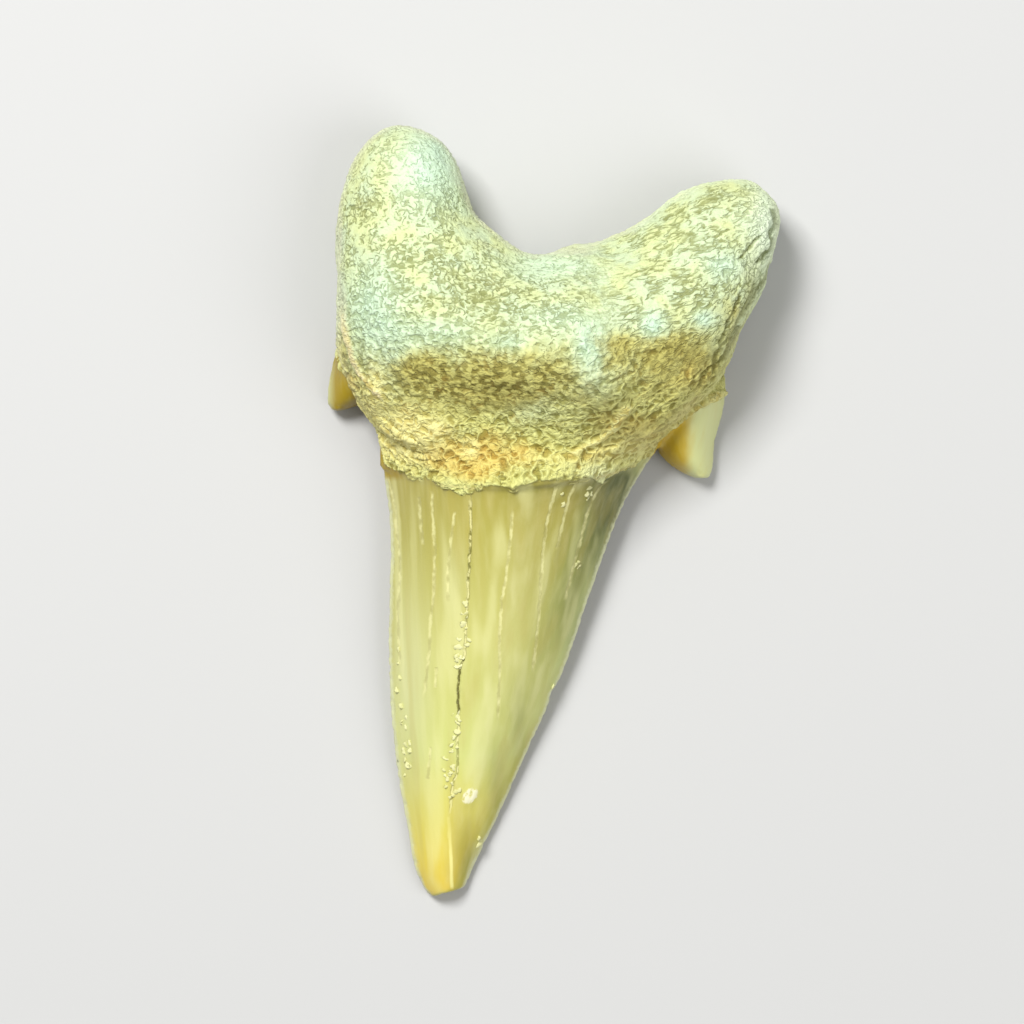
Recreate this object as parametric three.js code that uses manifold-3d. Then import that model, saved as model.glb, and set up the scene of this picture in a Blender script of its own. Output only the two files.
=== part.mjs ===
// The fossil tooth of an extinct mackerel shark, lying flat on its labial face.
// It is one piece: a forked root, a blade of a crown and two side cusplets that grew together.
// Millimetres. X runs across the tooth, Y from the crown's tip to the root lobes, Z up from the table.
import * as THREE from "three";
import { mergeVertices } from "three/addons/utils/BufferGeometryUtils.js";
import Module from "manifold-3d";

const wasm = await Module();
wasm.setup();

// Driving sizes of the whole tooth
const RIM_HEIGHT = 3.6; // the root is widest this far above the table
const LOBE_END_RADIUS = 3.8; // rounding of a lobe's end, seen from the side
const BOSS_HEIGHT = 3.8; // how far the lingual boss rises above the rest of the root
const BROW_HEIGHT = 1.0; // the boss's brow, where it turns down to the crown
const EDGE_SHARE = 0.24; // height of a cutting edge, as a share of the blade's thickness there
const BAND_PROUD = 0.42; // the dental band stands this far off the crown that it wraps
const BAND_SAG = 0.45; // the band's lower border bows this much more than the crown's own rings
const BAND_TILT = 0.35; // and stands this much higher at its right end, and lower at its left
const TIP_CHIP_RADIUS = 14;
const EDGE_NICK_RADIUS = 1.1;
const EDGE_NICK_DEPTH = 0.3;

// Squareness of the root's sections: 2 is an ellipse, and more is flatter with tighter corners
const INNER_SQUARENESS = 2.15;
const LABIAL_SQUARENESS = 3.4;

// How finely the surfaces are divided
const ROOT_RINGS = 66;
const ROOT_OUTLINE_POINTS = 72; // a ring's outline before it is divided evenly
const ROOT_RING_POINTS = 42;
const ROOT_POLE_MARGIN = 0.25; // the first and last rings stop this share of a step short of the lobes' ends
const CROWN_RINGS = 38;
const BAND_RINGS = 6;
const BAND_STARTS = 0.09; // from and to these shares of the crown's rows
const BAND_ENDS = 0.25;
const CUSPLET_RINGS = 14;
const BLADE_RING_POINTS = 36;
const CUSPLET_RING_POINTS = 20;

// The root is an arch from the left lobe's end to the right one. Each row is a line across the arch:
// inner x, inner y (towards the notch), outer x, outer y, lingual height, labial height.
const ROOT_STATIONS = [
  [-9.75, 24.05, -9.8, 24.05, 8.2, -0.1],
  [-8.3, 23.7, -11.1, 23.6, 8.2, -0.1],
  [-7.0, 22.9, -12.05, 22.65, 8.2, -0.1],
  [-6.15, 21.7, -12.7, 21.4, 8.2, -0.1],
  [-5.6, 20.0, -13.25, 19.6, 8.3, -0.1],
  [-4.95, 18.5, -13.7, 17.6, 8.4, -0.05],
  [-3.9, 17.35, -13.6, 15.0, 8.5, 0.1],
  [-3.0, 16.7, -13.6, 12.4, 8.5, 0.3],
  [-2.2, 16.3, -13.4, 9.8, 8.4, 0.45],
  [-1.5, 16.05, -12.3, 7.2, 8.3, 0.55],
  [-1.0, 16.0, -10.6, 4.9, 8.2, 0.6],
  [-0.5, 16.05, -7.2, 3.3, 8.3, 0.6],
  [0.1, 16.25, -2.8, 2.8, 8.4, 0.6],
  [0.9, 16.5, 1.6, 3.2, 8.4, 0.6],
  [1.9, 16.6, 5.2, 4.3, 8.3, 0.55],
  [3.0, 16.75, 8.2, 6.2, 8.2, 0.5],
  [4.1, 17.25, 10.3, 8.4, 8.1, 0.4],
  [5.2, 17.95, 11.55, 10.9, 8.0, 0.3],
  [6.4, 18.75, 12.75, 13.5, 7.9, 0.15],
  [7.5, 19.55, 13.7, 15.9, 7.8, -0.1],
  [8.7, 20.2, 14.1, 17.7, 7.7, -0.25],
  [10.1, 20.5, 13.8, 19.1, 7.6, -0.25],
  [11.2, 20.65, 12.9, 20.1, 7.6, -0.2],
  [12.0, 20.65, 12.1, 20.6, 7.6, -0.2],
];

// Blades are rows from the base to the tip: y at the edges, left x, right x, lingual height, labial height,
// and how far the ring bows towards the tip at its middle.
const CROWN_STATIONS = [
  [8.8, -13.0, 10.0, 6.2, 0.35, 2.6],
  [7.4, -12.0, 9.7, 7.0, 0.25, 2.3],
  [5.8, -11.0, 8.9, 7.5, 0.2, 2.0],
  [4.4, -10.8, 7.0, 7.8, 0.15, 1.7],
  [3.0, -10.75, 5.85, 7.95, 0.15, 1.25],
  [1.6, -10.65, 5.0, 7.9, 0.2, 0.75],
  [0.2, -10.45, 4.25, 7.6, 0.3, 0.35],
  [-2.2, -10.3, 3.3, 7.1, 0.4, 0.1],
  [-5.6, -10.4, 2.1, 6.35, 0.4, 0],
  [-8.9, -10.45, 1.0, 5.6, 0.25, 0],
  [-12.1, -10.35, -0.3, 4.8, 0.05, 0],
  [-15.1, -10.1, -1.7, 4.05, -0.1, 0],
  [-17.7, -9.7, -2.85, 3.35, -0.15, 0],
  [-20.1, -9.25, -3.98, 2.7, -0.12, 0],
  [-22.2, -8.9, -5.0, 2.15, -0.05, 0],
  [-23.7, -8.3, -5.6, 1.65, 0.1, 0],
  [-24.7, -7.5, -6.2, 1.15, 0.3, 0],
];

const LEFT_CUSPLET_STATIONS = [
  [11.0, -13.3, -10.0, 3.9, 0.5, 0],
  [9.9, -13.75, -10.2, 3.8, 0.35, 0],
  [8.7, -14.05, -10.5, 3.5, 0.25, 0],
  [7.7, -14.25, -10.9, 3.1, 0.25, 0],
  [6.95, -14.3, -11.5, 2.6, 0.3, 0],
  [6.5, -14.2, -12.6, 2.0, 0.45, 0],
  [6.3, -13.95, -13.5, 1.5, 0.7, 0],
];

const RIGHT_CUSPLET_STATIONS = [
  [9.0, 5.6, 10.6, 4.6, 0.4, 0],
  [7.4, 5.8, 10.7, 4.5, 0.25, 0],
  [6.0, 6.0, 10.5, 4.2, 0.2, 0],
  [4.8, 6.2, 10.15, 3.8, 0.2, 0],
  [3.8, 6.45, 10.0, 3.3, 0.25, 0],
  [3.0, 7.1, 9.95, 2.8, 0.35, 0],
  [2.4, 8.0, 9.85, 2.2, 0.5, 0],
  [2.05, 8.8, 9.7, 1.7, 0.75, 0],
];

// Low swellings and hollows of the root's lingual side: centre x, centre y, reach x, reach y, height.
const LINGUAL_RELIEF = [
  [-1.2, 11.1, 9.2, 5.0, BOSS_HEIGHT],
  [-1.4, 8.6, 8.4, 2.4, BROW_HEIGHT],
  [9.0, 13.4, 3.4, 3.2, 0.9],
  [-9.9, 12.2, 3.4, 4.4, 1.1],
  [-4.6, 6.4, 3.6, 1.7, -0.9],
  [7.6, 8.2, 2.6, 1.9, -0.8],
  [2.4, 7.2, 1.7, 1.6, 0.6],
  [-8.6, 19.6, 2.2, 3.0, 0.5],
];

// Catmull-Rom value of a table of rows at t, which runs from 0 at the first row to 1 at the last.
function rowAt(rows, t) {
  const place = t * (rows.length - 1);
  const at = Math.min(Math.floor(place), rows.length - 2);
  const f = place - at;
  const nearby = [-1, 0, 1, 2].map((k) => rows[THREE.MathUtils.clamp(at + k, 0, rows.length - 1)]);
  return nearby[1].map((_, column) => {
    const [a, b, c, d] = nearby.map((row) => row[column]);
    const slope = (c - a) / 2;
    const nextSlope = (d - b) / 2;
    const cubic = 2 * (b - c) + slope + nextSlope;
    return b + f * (slope + f * (3 * (c - b) - 2 * slope - nextSlope + f * cubic));
  });
}

const signedPower = (value, power) => Math.sign(value) * Math.abs(value) ** power;

// A closed skin over rings of points, with the first and the last ring drawn to their middles.
function skinOver(rings) {
  const size = rings[0].length;
  const middle = (ring) => ring.reduce((sum, p) => sum.add(p), new THREE.Vector3()).divideScalar(size);
  const points = [...rings.flat(), middle(rings[0]), middle(rings.at(-1))];
  const firstPole = rings.length * size;
  const lastRing = firstPole - size;
  const faces = [];
  for (let k = 0; k < size; k++) {
    const next = (k + 1) % size;
    faces.push(firstPole, next, k, firstPole + 1, lastRing + k, lastRing + next);
    for (let ring = 0; ring < lastRing; ring += size) {
      faces.push(ring + k, ring + next, ring + size + next, ring + k, ring + size + next, ring + size + k);
    }
  }
  return new THREE.BufferGeometry().setFromPoints(points).setIndex(faces);
}

// Geometry to solid, turned right side out if its rings ran the other way.
function solidFrom(geometry) {
  const shape = geometry.clone();
  shape.deleteAttribute("normal");
  shape.deleteAttribute("uv");
  const merged = mergeVertices(shape, 1e-4);
  const vertProperties = merged.attributes.position.array;
  const solidOf = (triVerts) => new wasm.Manifold(new wasm.Mesh({ numProp: 3, vertProperties, triVerts }));
  const faces = Uint32Array.from(merged.index.array);
  const solid = solidOf(faces);
  return solid.volume() > 0 ? solid : solidOf(faces.reverse());
}

function geometryFrom(solid) {
  const { vertProperties, triVerts } = solid.getMesh();
  const geometry = new THREE.BufferGeometry();
  geometry.setAttribute("position", new THREE.BufferAttribute(vertProperties, 3));
  geometry.setIndex(new THREE.BufferAttribute(triVerts, 1));
  geometry.computeVertexNormals();
  return geometry;
}

// Uneven weathering of the root, in swells of a fifth of a millimetre about 4 mm apart.
function weathering({ x, y, z }) {
  const across = Math.sin(1.25 * x + 0.5 * y + 1.1) * Math.cos(1.1 * z + 0.4 * x);
  const along = Math.sin(1.4 * y - 0.6 * z) * Math.cos(0.9 * x - 0.7 * z + 0.6);
  return 0.12 * across + 0.1 * along;
}

function lingualRelief(x, y) {
  return LINGUAL_RELIEF.reduce((sum, [atX, atY, reachX, reachY, height]) => {
    return sum + height * Math.exp(-(((x - atX) / reachX) ** 2) - ((y - atY) / reachY) ** 2);
  }, 0);
}

// The forked root

function rootRing(t, ends) {
  const [innerX, innerY, outerX, outerY, lingual, labial] = rowAt(ROOT_STATIONS, t);
  const middle = new THREE.Vector2(innerX + outerX, innerY + outerY).divideScalar(2);
  const fromEnd = Math.min(...ends.map((end) => middle.distanceTo(end)));
  const fullness = Math.sqrt(1 - (1 - Math.min(fromEnd / LOBE_END_RADIUS, 1)) ** 2);
  const outerSquareness = THREE.MathUtils.lerp(2.2, 3.2, Math.sin(Math.PI * t) ** 2);
  const outline = [];
  for (let k = 0; k < ROOT_OUTLINE_POINTS; k++) {
    const angle = (2 * Math.PI * k) / ROOT_OUTLINE_POINTS;
    const [c, s] = [Math.cos(angle), Math.sin(angle)];
    const lingualSquareness = c > 0 ? outerSquareness : INNER_SQUARENESS;
    const squareness = s < 0 ? LABIAL_SQUARENESS : lingualSquareness;
    const across = signedPower(c, 2 / squareness);
    const rise = signedPower(s, 2 / squareness);
    const x = middle.x + ((outerX - innerX) / 2) * across;
    const y = middle.y + ((outerY - innerY) / 2) * across;
    const height = rise > 0 ? lingual - RIM_HEIGHT + lingualRelief(x, y) : RIM_HEIGHT - labial;
    outline.push(new THREE.Vector3(x, y, RIM_HEIGHT + height * rise * fullness));
  }
  const ring = new THREE.CatmullRomCurve3(outline, true).getSpacedPoints(ROOT_RING_POINTS).slice(0, -1);
  const heart = new THREE.Vector3(middle.x, middle.y, RIM_HEIGHT);
  return ring.map((point) => {
    const outward = point.clone().sub(heart).normalize();
    return point.clone().addScaledVector(outward, weathering(point) * fullness);
  });
}

function makeRoot() {
  const ends = [ROOT_STATIONS[0], ROOT_STATIONS.at(-1)].map(([ix, iy, ox, oy]) => {
    return new THREE.Vector2(ix + ox, iy + oy).divideScalar(2);
  });
  const rings = Array.from({ length: ROOT_RINGS }, (_, k) => {
    return rootRing((k + ROOT_POLE_MARGIN) / (ROOT_RINGS - 1 + 2 * ROOT_POLE_MARGIN), ends);
  });
  return solidFrom(skinOver(rings));
}

// Crown, dental band and cusplets are blades: lens-shaped sections with a sharp edge on each side

function bladeRing([y, left, right, lingual, labial, bow], pointCount, { proud, sag, tilt }) {
  const edge = labial + EDGE_SHARE * (lingual - labial);
  const middle = (left + right) / 2;
  const half = (right - left) / 2 + proud / 2;
  const ring = [];
  for (let k = 0; k < pointCount; k++) {
    const angle = (2 * Math.PI * k) / pointCount;
    const across = Math.cos(angle);
    const bulge = Math.sin(angle) > 0 ? 1 - Math.abs(across) ** 2.1 : Math.abs(across) ** 2.8 - 1;
    const depth = bulge > 0 ? lingual - edge + proud : edge - labial - proud;
    const dip = (bow + sag) * (1 - across ** 2) - tilt * across;
    ring.push(new THREE.Vector3(middle + half * across, y - dip, edge + depth * bulge));
  }
  return ring;
}

function makeBlade(stations, ringCount, pointCount, extent = {}) {
  const { from = 0, to = 1, proud = 0, sag = 0, tilt = 0 } = extent;
  const rings = Array.from({ length: ringCount }, (_, k) => {
    const t = THREE.MathUtils.lerp(from, to, k / (ringCount - 1));
    return bladeRing(rowAt(stations, t), pointCount, { proud, sag, tilt });
  });
  return solidFrom(skinOver(rings));
}

// A rounded cutter that stands through the tooth, for a chip in an edge.
function makeScoop(radius, x, y) {
  const scoop = new THREE.CylinderGeometry(radius, radius, 20, 40);
  scoop.rotateX(Math.PI / 2);
  scoop.translate(x, y, 0);
  return solidFrom(scoop);
}

function makeCrown() {
  const blade = makeBlade(CROWN_STATIONS, CROWN_RINGS, BLADE_RING_POINTS);
  const tipChip = makeScoop(TIP_CHIP_RADIUS, -2.66, -37.36);
  const edgeNick = makeScoop(EDGE_NICK_RADIUS, -0.05 + EDGE_NICK_RADIUS - EDGE_NICK_DEPTH, -11.85);
  return blade.subtract(tipChip).subtract(edgeNick);
}

// The band between crown and root on the lingual side, from under the boss down to its bowed lower border.
function makeDentalBand() {
  const extent = { from: BAND_STARTS, to: BAND_ENDS, proud: BAND_PROUD, sag: BAND_SAG, tilt: BAND_TILT };
  return makeBlade(CROWN_STATIONS, BAND_RINGS, BLADE_RING_POINTS, extent);
}

function makeTableTop() {
  const slab = new THREE.BoxGeometry(60, 80, 10);
  slab.translate(0, 0, -5);
  return solidFrom(slab);
}

// Moves a solid sideways until the middle of its outline is over the origin.
function centred(solid) {
  const { min, max } = solid.boundingBox();
  return solid.translate([-(min[0] + max[0]) / 2, -(min[1] + max[1]) / 2, 0]);
}

function makeTooth() {
  const leftCusplet = makeBlade(LEFT_CUSPLET_STATIONS, CUSPLET_RINGS, CUSPLET_RING_POINTS);
  const rightCusplet = makeBlade(RIGHT_CUSPLET_STATIONS, CUSPLET_RINGS, CUSPLET_RING_POINTS);
  const pieces = [makeCrown(), makeDentalBand(), leftCusplet, rightCusplet];
  const grown = pieces.reduce((all, piece) => all.add(piece), makeRoot());
  const resting = centred(grown.subtract(makeTableTop()));
  const fossil = new THREE.MeshStandardMaterial({ color: "#cdc48c", roughness: 0.75, metalness: 0 });
  const tooth = new THREE.Mesh(geometryFrom(resting), fossil);
  tooth.name = "tooth";
  return tooth;
}

const part = new THREE.Group();
part.add(makeTooth());

export default part;
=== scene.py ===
"""A fossil shark tooth, lying on its flat side and seen from above."""

import bmesh
import bpy
import numpy as np
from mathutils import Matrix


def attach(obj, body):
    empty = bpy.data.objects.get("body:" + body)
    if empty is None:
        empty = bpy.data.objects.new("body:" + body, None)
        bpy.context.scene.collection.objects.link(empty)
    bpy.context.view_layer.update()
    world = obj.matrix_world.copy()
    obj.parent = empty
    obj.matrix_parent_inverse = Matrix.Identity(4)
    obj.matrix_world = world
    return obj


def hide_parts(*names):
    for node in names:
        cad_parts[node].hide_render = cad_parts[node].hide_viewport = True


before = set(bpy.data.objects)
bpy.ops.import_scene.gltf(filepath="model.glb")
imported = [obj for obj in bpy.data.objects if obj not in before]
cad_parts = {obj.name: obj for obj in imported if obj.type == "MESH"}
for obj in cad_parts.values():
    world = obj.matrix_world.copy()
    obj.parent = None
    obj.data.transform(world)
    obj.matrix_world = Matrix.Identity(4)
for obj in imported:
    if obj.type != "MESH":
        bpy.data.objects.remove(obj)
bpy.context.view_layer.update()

# Studio. A plain pale table top under soft light that comes from beyond the root and from the left,
# as in the photograph, and a camera straight above that sees a square of 64 mm.
CAMERA_HEIGHT = 0.300
SEEN_HEIGHT = 0.003  # the frame is as wide as stated this far above the table
FRAME_WIDTH = 0.064
FRAME_MIDDLE = (-0.002575, 0.000047)
SENSOR = 36.0
TABLE_REACH = 1.0
TABLE_DROP = 0.00002  # how far under the tooth's lowest points the table top lies
TABLE_GREY = (0.52, 0.52, 0.52, 1)
TABLE_ROUGHNESS = 0.8
KEY_POWER, FILL_POWER, SKY_STRENGTH = 1.98, 0.75, 0.30


def add_object(name, data):
    thing = bpy.data.objects.new(name, data)
    bpy.context.scene.collection.objects.link(thing)
    return thing


def add_softbox(name, place, aim, size, power, colour):
    """A square light of a given width and power, aimed at a point."""
    lamp = bpy.data.lights.new(name, "AREA")
    lamp.shape, lamp.size, lamp.energy, lamp.color = "SQUARE", size, power, colour
    box = add_object(name, lamp)
    box.location = place
    away = box.location.copy()
    away.x, away.y, away.z = (p - a for p, a in zip(place, aim))
    box.rotation_mode = "QUATERNION"
    box.rotation_quaternion = away.to_track_quat("Z", "Y")
    return box


camera_data = bpy.data.cameras.new("camera")
camera_data.sensor_width = SENSOR
camera_data.lens = SENSOR * (CAMERA_HEIGHT - SEEN_HEIGHT) / FRAME_WIDTH
camera_data.clip_start, camera_data.clip_end = 0.01, 10
camera = add_object("camera", camera_data)
camera.location = (*FRAME_MIDDLE, CAMERA_HEIGHT)
bpy.context.scene.camera = camera

add_softbox("key_light", (-0.13, 0.18, 0.35), (-0.002, 0.004, 0.004), 0.14, KEY_POWER, (1, 1, 0.98))
add_softbox("fill_light", (0.24, -0.10, 0.32), (0, 0, 0), 0.30, FILL_POWER, (1, 1, 0.985))
world = bpy.data.worlds.new("studio")
world.use_nodes = True
world.node_tree.nodes["Background"].inputs["Color"].default_value = (1, 1, 0.985, 1)
world.node_tree.nodes["Background"].inputs["Strength"].default_value = SKY_STRENGTH
bpy.context.scene.world = world
bpy.context.scene.view_settings.view_transform = "Standard"

table_mesh = bpy.data.meshes.new("table_top")
corners = [(-TABLE_REACH, -TABLE_REACH), (TABLE_REACH, -TABLE_REACH), (TABLE_REACH, TABLE_REACH)]
corners.append((-TABLE_REACH, TABLE_REACH))
table_mesh.from_pydata([(x, y, -TABLE_DROP) for x, y in corners], [], [(0, 1, 2, 3)])
table_top = add_object("table_top", table_mesh)
table_paint = bpy.data.materials.new("table_paint")
table_paint.use_nodes = True
table_paint.node_tree.nodes["Principled BSDF"].inputs["Base Color"].default_value = TABLE_GREY
table_paint.node_tree.nodes["Principled BSDF"].inputs["Roughness"].default_value = TABLE_ROUGHNESS
table_mesh.materials.append(table_paint)

# The tooth's form. Root, crown and the two cusplets are one fossil that grew as one, so it is one closed
# skin, wrapped finely round the solid. Sizes from here to the finish are in millimetres.
PER_MM = 0.001
WELD_REACH = 0.0005
SKIN_STEP = 0.1
GRID_STEP = 0.25  # of the map that thickness is read from
LINGUAL_SLOPE = (-0.5, -0.05)  # upward share of the normal where labial gives way to lingual
BLADE_LEFT, BLADE_RIGHT, BLADE_TOP = -11.3, 6.2, 4.5  # the crown without its cusplets lies inside these
CUSPLET_TOPS = (3.4, 5.0)  # heights of the left and right one; what lies above them is root
CUSPLET_START = 5.0  # the y beyond which those heights count

# Where enamel ends and root begins, as (x, y) from left to right, on the lingual and on the labial side
LINGUAL_BORDER = [
    (-13.6, 10.5), (-13.25, 8.9), (-12.6, 8.2), (-11.65, 7.0), (-11.2, 5.9), (-10.9, 4.3), (-10.5, 3.0),
    (-9.6, 2.5), (-8.45, 2.1), (-7.7, 2.0), (-6.6, 1.5), (-5.5, 1.05), (-4.7, 1.45), (-3.9, 1.65),
    (-2.6, 1.45), (-1.1, 1.85), (0.4, 2.05), (1.1, 1.95), (2.3, 2.2), (2.8, 1.9), (3.7, 2.5), (4.55, 2.8),
    (5.9, 3.55), (6.6, 4.55), (7.1, 5.05), (8.4, 6.05), (9.25, 6.55), (10.55, 7.3),
]
LABIAL_BORDER = [
    (-13.8, 10.6), (-12.9, 9.1), (-10.9, 8.1), (-8.0, 7.2), (-5.0, 6.65), (-1.5, 6.43),
    (2.0, 6.65), (5.0, 7.2), (8.0, 8.0), (9.9, 8.9), (10.8, 8.6),
]

# Stains, as (x, y, reach in x, reach in y, strength)
OCHRE_STAINS = [
    (-4.6, 8.4, 4.6, 1.4, 1.0), (-7.8, 8.8, 2.2, 1.2, 0.8), (-0.5, 8.7, 2.4, 1.5, 0.6),
    (-3.3, 7.0, 6.9, 1.3, 0.5), (7.9, 9.1, 2.4, 2.1, 1.0), (5.1, 5.6, 3.0, 1.1, 0.9),
    (-13.1, 10.9, 0.6, 2.2, 1.0), (-11.5, 19.0, 0.8, 0.7, 0.4), (-3.9, 13.9, 1.6, 0.7, 0.35),
    (3.5, 10.4, 1.7, 1.0, 0.6), (11.3, 11.5, 0.8, 2.4, 0.6), (5.6, 9.4, 3.2, 1.6, 0.6),
    (4.5, 4.6, 2.4, 0.9, 0.6),
]
ORANGE_STAINS = [
    (-6.8, 3.7, 2.4, 1.2, 0.9), (-3.3, 3.8, 1.7, 1.1, 1.0), (-5.2, 2.6, 1.4, 0.9, 0.9),
    (5.1, 5.4, 2.2, 0.8, 0.7), (8.5, 8.6, 1.4, 1.2, 0.5), (-12.6, 8.0, 0.7, 0.8, 0.7),
    (-0.8, 3.6, 2.6, 0.9, 0.45), (2.6, 3.6, 1.8, 0.8, 0.4),
]
# Pale patches: the cleanest bluish-white crust and paler enamel; the one at (13.2, 17.6) on the right lobe's
# end is partly painted light
PALE_PATCHES = [
    (-11.2, 12.3, 1.8, 2.8, 0.9), (-7.1, 10.9, 2.6, 1.0, 0.7), (-9.9, 9.2, 1.2, 1.8, 0.6),
    (-7.5, 21.5, 2.1, 2.6, 1.1), (-0.2, 15.2, 3.0, 1.1, 0.7), (2.3, 8.9, 1.3, 1.8, 0.9),
    (0.4, 11.8, 2.6, 0.9, 0.55), (6.05, 11.4, 0.8, 0.9, 1.2), (9.2, 11.8, 0.75, 0.6, 1.0),
    (10.4, 15.2, 1.4, 0.9, 0.9), (13.2, 17.6, 1.1, 2.8, 1.0), (-1.4, 6.5, 1.6, 0.9, 0.5),
    (-7.3, 5.0, 1.0, 0.5, 0.3), (-4.9, 3.95, 0.5, 0.5, 0.5), (2.7, 2.4, 0.9, 0.6, 0.7),
    (2.3, 10.6, 1.0, 0.9, 0.9), (-2.7, 10.3, 1.4, 0.7, 0.7),
    (-8.9, -10.5, 1.2, 5.5, 0.8), (-6.2, -4.5, 0.7, 3.5, 0.4),
]
# Cream patches: the crust's own cream; the two at the band's left end, (-9.2, 4.8) and (-10.9, 7.6), are
# also painted light that lifts the shade under the boss
CREAM_PATCHES = [
    (-9.2, 4.8, 2.2, 1.6, 1.2), (-10.9, 7.6, 0.7, 1.6, 0.8), (-1.0, 3.2, 6.0, 0.8, 0.2),
    (4.5, 4.2, 2.2, 0.8, 0.5),
    (-7.3, 5.0, 1.0, 0.5, 0.9), (-4.9, 3.95, 0.5, 0.5, 0.8), (2.7, 2.4, 0.9, 0.6, 0.5),
]
EVEN_GROUND = [  # where the step between boss and band is filled and rubbed away
    (-8.6, 4.4, 2.8, 1.3, 1.2), (-10.4, 5.2, 1.3, 1.6, 1.2), (-12.2, 9.6, 0.5, 1.6, 0.5),
    (-5.2, 4.6, 3.0, 0.9, 0.9), (-1.6, 4.7, 2.6, 0.8, 0.8), (2.0, 4.7, 2.2, 0.8, 0.8),
    (5.4, 5.6, 1.8, 1.0, 0.8),
]
CRUST_FILL = [  # strength is the height in millimetres that is filled up
    (-9.2, 3.9, 1.5, 0.8, 1.0), (-10.4, 4.7, 0.8, 0.8, 1.2), (-6.5, 3.6, 1.8, 0.6, 0.45),
]
WORN_PATCHES = [
    (-8.4, 21.6, 3.2, 2.8, 0.85), (-5.2, 16.4, 1.2, 1.0, 0.3), (1.0, 16.2, 3.0, 0.6, 0.3),
    (13.0, 17.8, 1.6, 2.4, 0.8),
]
# Olive on the enamel: partly its own olive stain, partly painted shade where the band's overhang and the
# root's flange shade the crown's top and upper right
OLIVE_STAINS_AND_SHADE = [
    (4.6, 1.3, 1.3, 1.5, 1.1), (3.4, 0.6, 1.2, 2.0, 1.0), (2.6, -2.4, 1.1, 2.4, 0.6),
    (1.3, -6.5, 0.9, 3.4, 0.4),
    (-2.2, -12.8, 0.5, 2.6, 0.3), (-3.6, -16.6, 0.5, 2.2, 0.3), (-1.2, 1.6, 5.0, 0.7, 0.3),
    (-5.5, -21.3, 0.7, 2.2, 0.4),
]


def welded_copy(node):
    """A CAD node's loose triangles as one closed skin, in millimetres."""
    skin = bmesh.new()
    skin.from_mesh(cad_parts[node].data)
    bmesh.ops.scale(skin, vec=(1 / PER_MM,) * 3, verts=skin.verts)
    bmesh.ops.remove_doubles(skin, verts=skin.verts, dist=WELD_REACH)
    mesh = bpy.data.meshes.new("welded_" + node)
    mesh.from_pydata([v.co[:] for v in skin.verts], [], [[v.index for v in f.verts] for f in skin.faces])
    skin.free()
    return mesh


def finished_mesh(thing):
    """The object's mesh with its modifiers carried out; the modifiers themselves are removed."""
    bpy.context.view_layer.update()
    evaluated = thing.evaluated_get(bpy.context.evaluated_depsgraph_get())
    mesh = bpy.data.meshes.new_from_object(evaluated)
    thing.modifiers.clear()
    return mesh


def places_of(mesh):
    flat = np.empty(len(mesh.vertices) * 3, np.float32)
    mesh.vertices.foreach_get("co", flat)
    return flat.reshape(-1, 3).astype(float)


def normals_of(mesh):
    flat = np.empty(len(mesh.vertices) * 3, np.float32)
    mesh.vertex_normals.foreach_get("vector", flat)
    return flat.reshape(-1, 3).astype(float)


def blade_sides(x, y, on_blade):
    """How far each point lies from the blade's left and from its right edge, seen from above."""
    rows = np.arange(y.min(), y[on_blade].max(), GRID_STEP)
    row = np.clip(((y - rows[0]) / GRID_STEP).astype(int), 0, len(rows) - 1)
    left, right = np.full(len(rows), np.inf), np.full(len(rows), -np.inf)
    np.minimum.at(left, row[on_blade], x[on_blade])
    np.maximum.at(right, row[on_blade], x[on_blade])
    middles = rows + GRID_STEP / 2
    return x - np.interp(y, middles, left), np.interp(y, middles, right) - x


def border_distance(x, y, border):
    """Distance from a border line in millimetres, above zero on the side of the crown's tip."""
    line = np.array(border)
    nearest = np.full(len(x), np.inf)
    for (ax, ay), (bx, by) in zip(line[:-1], line[1:]):
        run = (bx - ax) ** 2 + (by - ay) ** 2
        share = np.clip(((x - ax) * (bx - ax) + (y - ay) * (by - ay)) / run, 0, 1)
        nearest = np.minimum(nearest, np.hypot(x - ax - share * (bx - ax), y - ay - share * (by - ay)))
    return np.where(y < np.interp(x, line[:, 0], line[:, 1]), nearest, -nearest)


def stain_strength(x, y, stains):
    total = sum(s * np.exp(-(((x - u) / rx) ** 2) - ((y - v) / ry) ** 2) for u, v, rx, ry, s in stains)
    return np.minimum(total, 1.2)


def thickness_at(x, y, z):
    """How thick the tooth is at each point, from a map of its highest and lowest points."""
    column = ((x - x.min()) / GRID_STEP).astype(int) + 1
    row = ((y - y.min()) / GRID_STEP).astype(int) + 1
    size = (column.max() + 2, row.max() + 2)
    high, low = np.full(size, -np.inf), np.full(size, np.inf)
    np.maximum.at(high, (column, row), z)
    np.minimum.at(low, (column, row), z)
    depth = np.where(np.isfinite(high), high - low, 0)
    for axis in (0, 1):
        depth = (np.roll(depth, 1, axis) + 2 * depth + np.roll(depth, -1, axis)) / 4
    return depth[column, row]


def ramp(value, low, high):
    share = np.clip((value - low) / (high - low), 0, 1)
    return share * share * (3 - 2 * share)


def store(mesh, name, values):
    mesh.attributes.new(name, "FLOAT", "POINT").data.foreach_set("value", values.astype(np.float32))


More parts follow.
